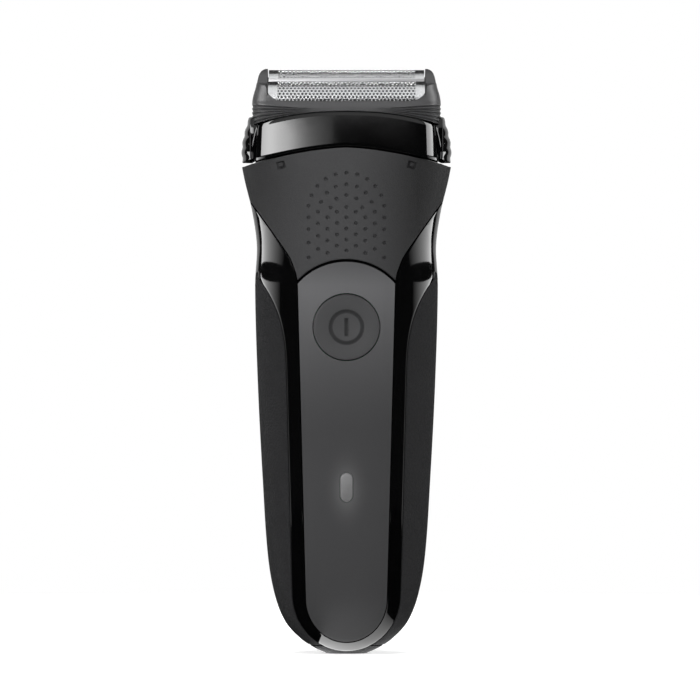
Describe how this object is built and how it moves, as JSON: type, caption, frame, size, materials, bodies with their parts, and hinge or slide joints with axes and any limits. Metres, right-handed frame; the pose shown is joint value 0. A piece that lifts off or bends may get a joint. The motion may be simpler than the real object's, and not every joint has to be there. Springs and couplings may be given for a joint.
{
  "type": "foil shaver",
  "caption": "Cordless foil shaver with twin floating foils, a middle trimmer, side release buttons, rubber side grips, a round power button and a charging socket.",
  "frame": {"origin": "under the middle of the body, on the surface that its charging end stands on", "axes": "+Z along the body from the charging socket to the foils; -Y is the front with the power button; +X is the left-right symmetry direction"},
  "size_m": [0.0576, 0.036, 0.1601],
  "materials": {
    "gloss_black": "piano-black gloss",
    "matte_black": "fine matte",
    "grip_rubber": "fine-grained soft touch",
    "shield_grey": "satin dark grey with small dimples",
    "strip_grey": "satin dark grey",
    "light_lens": "milky diffuser",
    "frame_grey": "satin dark grey",
    "foil_steel": "bright perforated foil",
    "blade_steel": "ground steel",
    "motor_steel": "zinc plated",
    "contact_nickel": "nickel plated",
    "cell_wrap": "shrink sleeve",
    "board_green": "solder mask"
  },
  "bodies": {
    "body": {"rear_housing": "matte_black", "front_housing": "gloss_black", "grip_left": "grip_rubber", "grip_right": "grip_rubber", "front_shield": "shield_grey", "centre_strip": "strip_grey", "light_lens": "light_lens", "light_chip": "light_lens", "power_socket": "matte_black", "contact_pin_left": "contact_nickel", "contact_pin_right": "contact_nickel", "battery_cell_left": "cell_wrap", "battery_cell_right": "cell_wrap", "battery_tab_left": "contact_nickel", "battery_tab_right": "contact_nickel", "battery_tab_top": "contact_nickel", "inner_chassis": "matte_black", "circuit_board": "board_green", "tact_switch": "matte_black", "motor_can": "motor_steel", "motor_mount": "blade_steel", "motor_screw_left": "blade_steel", "motor_screw_right": "blade_steel", "screw_low_left": "blade_steel", "screw_low_right": "blade_steel", "screw_top_left": "blade_steel", "screw_top_right": "blade_steel", "head_collar": "gloss_black", "neck_seal": "grip_rubber", "guide_rod_front": "blade_steel", "guide_rod_rear": "blade_steel"},
    "power_key": {"power_button": "strip_grey"},
    "release_left": {"release_left": "gloss_black"},
    "release_right": {"release_right": "gloss_black"},
    "rotor": {"motor_shaft": "blade_steel"},
    "bridge": {"drive_bridge": "matte_black", "cutter_spring_front": "blade_steel", "cutter_spring_rear": "blade_steel"},
    "front_cutter": {"cutter_front": "blade_steel"},
    "rear_cutter": {"cutter_rear": "blade_steel"},
    "moving_blade": {"trimmer_blade": "foil_steel"},
    "cassette": {"cassette_frame": "frame_grey"},
    "front_foil": {"foil_front": "foil_steel"},
    "rear_foil": {"foil_rear": "foil_steel"},
    "trimmer": {"trimmer_guard": "foil_steel"}
  },
  "joints": [
    {"name": "power_button_press", "type": "slide", "parent": "body", "child": "power_key", "axis": [0, 1, 0], "range_m": [0, 0.0008], "stiffness_N_per_m": 2500},
    {"name": "release_left_press", "type": "slide", "parent": "body", "child": "release_left", "axis": [1, 0, 0], "range_m": [0, 0.0008], "stiffness_N_per_m": 1800},
    {"name": "release_right_press", "type": "slide", "parent": "body", "child": "release_right", "axis": [-1, 0, 0], "range_m": [0, 0.0008], "stiffness_N_per_m": 1800},
    {"name": "cassette_lift", "type": "slide", "parent": "body", "child": "cassette", "axis": [0, 0, 1], "range_m": [0, 0.018]},
    {"name": "front_foil_float", "type": "slide", "parent": "cassette", "child": "front_foil", "axis": [0, 0, -1], "range_m": [0, 0.001], "stiffness_N_per_m": 900},
    {"name": "rear_foil_float", "type": "slide", "parent": "cassette", "child": "rear_foil", "axis": [0, 0, -1], "range_m": [0, 0.001], "stiffness_N_per_m": 900},
    {"name": "trimmer_float", "type": "slide", "parent": "cassette", "child": "trimmer", "axis": [0, 0, -1], "range_m": [0, 0.001], "stiffness_N_per_m": 900},
    {"name": "bridge_stroke", "type": "slide", "parent": "body", "child": "bridge", "axis": [1, 0, 0], "range_m": [-0.0012, 0.0012], "stiffness_N_per_m": 400},
    {"name": "front_cutter_float", "type": "slide", "parent": "bridge", "child": "front_cutter", "axis": [0, 0, -1], "range_m": [0, 0.001], "stiffness_N_per_m": 300, "deforming": ["cutter_spring_front"]},
    {"name": "rear_cutter_float", "type": "slide", "parent": "bridge", "child": "rear_cutter", "axis": [0, 0, -1], "range_m": [0, 0.001], "stiffness_N_per_m": 300, "deforming": ["cutter_spring_rear"]},
    {"name": "moving_blade_float", "type": "slide", "parent": "bridge", "child": "moving_blade", "axis": [0, 0, -1], "range_m": [0, 0.001], "stiffness_N_per_m": 300},
    {"name": "motor_spin", "type": "hinge", "parent": "body", "child": "rotor", "pos_m": [0, 0.0048, 0.112], "axis": [0, 0, 1], "continuous": true}
  ],
  "couplings": [
    {"joint": "release_right_press", "follows": "release_left_press", "ratio": 1},
    {"joint": "front_cutter_float", "follows": "front_foil_float", "ratio": 1},
    {"joint": "rear_cutter_float", "follows": "rear_foil_float", "ratio": 1},
    {"joint": "moving_blade_float", "follows": "trimmer_float", "ratio": 1}
  ]
}
